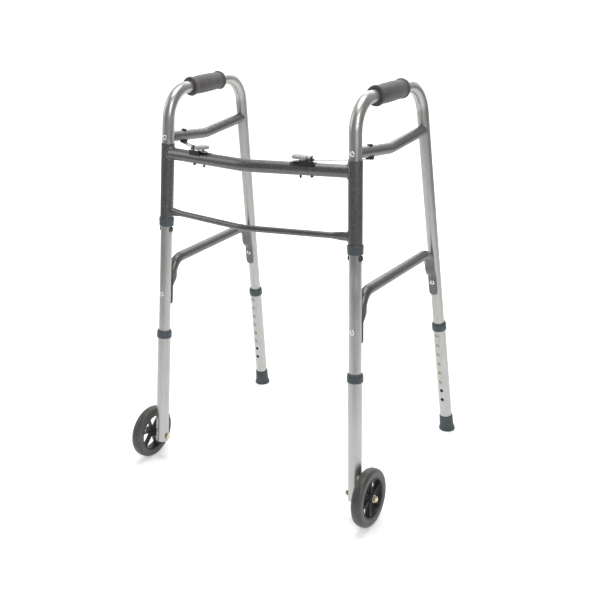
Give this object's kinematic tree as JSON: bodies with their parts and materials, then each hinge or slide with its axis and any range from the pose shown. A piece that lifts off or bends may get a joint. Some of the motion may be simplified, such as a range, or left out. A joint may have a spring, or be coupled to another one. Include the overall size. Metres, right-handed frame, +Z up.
{
  "type": "folding wheeled walking frame",
  "caption": "Folding aluminium walking frame with two hinged side frames, height-adjustable legs, front wheels, rear tips and paddle-operated fold latches.",
  "frame": {"origin": "on the floor, under the middle of the bounding box", "axes": "+Z up; +Y from the front legs towards the rear legs, where the user stands; +X towards the user's left, the side named right in the nodes as seen from the front"},
  "size_m": [0.621, 0.5326, 0.8713],
  "materials": {
    "silver_tube": "satin anodised",
    "hammered_grey": "hammered enamel, slightly glossy",
    "rivet_steel": "bright plated",
    "dark_steel": "blackened",
    "black_plastic": "moulded",
    "grip_vinyl": "grained, matt",
    "collar_plastic": "satin moulded",
    "brass": "plain turned",
    "tip_rubber": "matt moulded",
    "tyre_rubber": "smooth grey",
    "zinc": "yellow zinc plated",
    "paddle_plastic": "satin moulded",
    "strap_steel": "bright stamped"
  },
  "bodies": {
    "front": {"crossbar_upper": "hammered_grey", "crossbar_lower": "hammered_grey", "right_sleeve": "hammered_grey", "right_sleeve_collar": "collar_plastic", "right_latch_saddle": "black_plastic", "right_fulcrum_rivet": "dark_steel", "left_sleeve": "hammered_grey", "left_sleeve_collar": "collar_plastic", "left_latch_saddle": "black_plastic", "left_fulcrum_rivet": "dark_steel"},
    "right_side": {"right_side_tube": "silver_tube", "right_grip": "grip_vinyl", "right_upper_brace": "hammered_grey", "right_lower_brace": "hammered_grey", "right_rivet_upper_front": "rivet_steel", "right_rivet_lower_front": "rivet_steel", "right_rivet_lower_rear": "rivet_steel", "right_stop_pin": "dark_steel", "right_brace_bolt": "dark_steel", "right_brace_spacer": "black_plastic"},
    "right_front_leg": {"right_front_ext": "silver_tube", "right_front_collar": "collar_plastic", "right_axle_bolt": "zinc", "right_axle_nut": "zinc"},
    "right_rear_leg": {"right_rear_ext": "silver_tube", "right_rear_collar": "collar_plastic", "right_rear_tip": "tip_rubber"},
    "right_wheel": {"right_tyre": "tyre_rubber", "right_hub": "black_plastic"},
    "right_front_snap": {"right_front_button": "brass"},
    "right_rear_snap": {"right_rear_button": "brass"},
    "right_paddle_body": {"right_paddle": "paddle_plastic"},
    "right_lock": {"right_lock_pin": "brass"},
    "right_swivel": {"right_slider": "brass"},
    "right_link": {"right_strap": "strap_steel"},
    "left_side": {"left_side_tube": "silver_tube", "left_grip": "grip_vinyl", "left_upper_brace": "hammered_grey", "left_lower_brace": "hammered_grey", "left_rivet_upper_front": "rivet_steel", "left_rivet_lower_front": "rivet_steel", "left_rivet_lower_rear": "rivet_steel", "left_stop_pin": "dark_steel", "left_brace_bolt": "dark_steel", "left_brace_spacer": "black_plastic"},
    "left_front_leg": {"left_front_ext": "silver_tube", "left_front_collar": "collar_plastic", "left_axle_bolt": "zinc", "left_axle_nut": "zinc"},
    "left_rear_leg": {"left_rear_ext": "silver_tube", "left_rear_collar": "collar_plastic", "left_rear_tip": "tip_rubber"},
    "left_wheel": {"left_tyre": "tyre_rubber", "left_hub": "black_plastic"},
    "left_front_snap": {"left_front_button": "brass"},
    "left_rear_snap": {"left_rear_button": "brass"},
    "left_paddle_body": {"left_paddle": "paddle_plastic"},
    "left_lock": {"left_lock_pin": "brass"},
    "left_swivel": {"left_slider": "brass"},
    "left_link": {"left_strap": "strap_steel"}
  },
  "joints": [
    {"name": "right_fold", "type": "hinge", "parent": "front", "child": "right_side", "pos_m": [0.23073, -0.14544, 0.64601], "axis": [-0.0465, 0.1004, 0.9939], "range_deg": [0, 85]},
    {"name": "right_front_leg_height", "type": "slide", "parent": "right_side", "child": "right_front_leg", "axis": [-0.0465, 0.1004, 0.9939], "range_m": [-0.1016, 0.0508]},
    {"name": "right_rear_leg_height", "type": "slide", "parent": "right_side", "child": "right_rear_leg", "axis": [-0.0543, -0.1198, 0.9913], "range_m": [-0.1016, 0.0762]},
    {"name": "right_wheel_spin", "type": "hinge", "parent": "right_front_leg", "child": "right_wheel", "pos_m": [0.25812, -0.20464, 0.06018], "axis": [0.9989, 0, 0.0467], "continuous": true},
    {"name": "right_front_snap_press", "type": "slide", "parent": "right_side", "child": "right_front_snap", "axis": [-0.0409, -0.9943, 0.0986], "range_m": [0, 0.004], "stiffness_N_per_m": 900},
    {"name": "right_rear_snap_press", "type": "slide", "parent": "right_side", "child": "right_rear_snap", "axis": [0.0297, 0.9921, 0.1216], "range_m": [0, 0.004], "stiffness_N_per_m": 900},
    {"name": "right_paddle_press", "type": "hinge", "parent": "front", "child": "right_paddle_body", "pos_m": [0.14227, -0.15627, 0.7389], "axis": [0.1671, -0.9859, 0], "range_deg": [0, 5], "stiffness_Nm_per_rad": 1.2},
    {"name": "right_lock_drop", "type": "slide", "parent": "front", "child": "right_lock", "axis": [0, 0, -1], "range_m": [0, 0.00222]},
    {"name": "right_strap_swivel", "type": "hinge", "parent": "front", "child": "right_swivel", "pos_m": [0.117, -0.1565, 0.73645], "axis": [-0.0465, 0.1004, 0.9939], "range_deg": [-7.73, 0]},
    {"name": "right_strap_slide", "type": "slide", "parent": "right_swivel", "child": "right_link", "axis": [0.8292, 0.5587, -0.0177], "range_m": [-0.0737, 0]},
    {"name": "left_fold", "type": "hinge", "parent": "front", "child": "left_side", "pos_m": [-0.23073, -0.14544, 0.64601], "axis": [-0.0465, -0.1004, -0.9939], "range_deg": [0, 60]},
    {"name": "left_front_leg_height", "type": "slide", "parent": "left_side", "child": "left_front_leg", "axis": [0.0465, 0.1004, 0.9939], "range_m": [-0.1016, 0.0508]},
    {"name": "left_rear_leg_height", "type": "slide", "parent": "left_side", "child": "left_rear_leg", "axis": [0.0543, -0.1198, 0.9913], "range_m": [-0.1016, 0.0762]},
    {"name": "left_wheel_spin", "type": "hinge", "parent": "left_front_leg", "child": "left_wheel", "pos_m": [-0.25812, -0.20464, 0.06018], "axis": [0.9989, 0, -0.0467], "continuous": true},
    {"name": "left_front_snap_press", "type": "slide", "parent": "left_side", "child": "left_front_snap", "axis": [0.0409, -0.9943, 0.0986], "range_m": [0, 0.004], "stiffness_N_per_m": 900},
    {"name": "left_rear_snap_press", "type": "slide", "parent": "left_side", "child": "left_rear_snap", "axis": [-0.0297, 0.9921, 0.1216], "range_m": [0, 0.004], "stiffness_N_per_m": 900},
    {"name": "left_paddle_press", "type": "hinge", "parent": "front", "child": "left_paddle_body", "pos_m": [-0.14227, -0.15627, 0.7389], "axis": [0.1671, 0.9859, 0], "range_deg": [0, 5], "stiffness_Nm_per_rad": 1.2},
    {"name": "left_lock_drop", "type": "slide", "parent": "front", "child": "left_lock", "axis": [0, 0, -1], "range_m": [0, 0.00222]},
    {"name": "left_strap_swivel", "type": "hinge", "parent": "front", "child": "left_swivel", "pos_m": [-0.117, -0.1565, 0.73645], "axis": [-0.0465, -0.1004, -0.9939], "range_deg": [0, 4.37]},
    {"name": "left_strap_slide", "type": "slide", "parent": "left_swivel", "child": "left_link", "axis": [-0.8292, 0.5587, -0.0177], "range_m": [-0.05472, 0]}
  ],
  "couplings": [
    {"joint": "right_lock_drop", "follows": "right_paddle_press", "m_per_rad": 0.02495},
    {"joint": "right_strap_swivel", "follows": "right_fold", "ratio": -0.08945},
    {"joint": "right_strap_slide", "follows": "right_fold", "m_per_rad": -0.049431},
    {"joint": "left_lock_drop", "follows": "left_paddle_press", "m_per_rad": 0.02495},
    {"joint": "left_strap_swivel", "follows": "left_fold", "ratio": 0.07128},
    {"joint": "left_strap_slide", "follows": "left_fold", "m_per_rad": -0.051997}
  ]
}
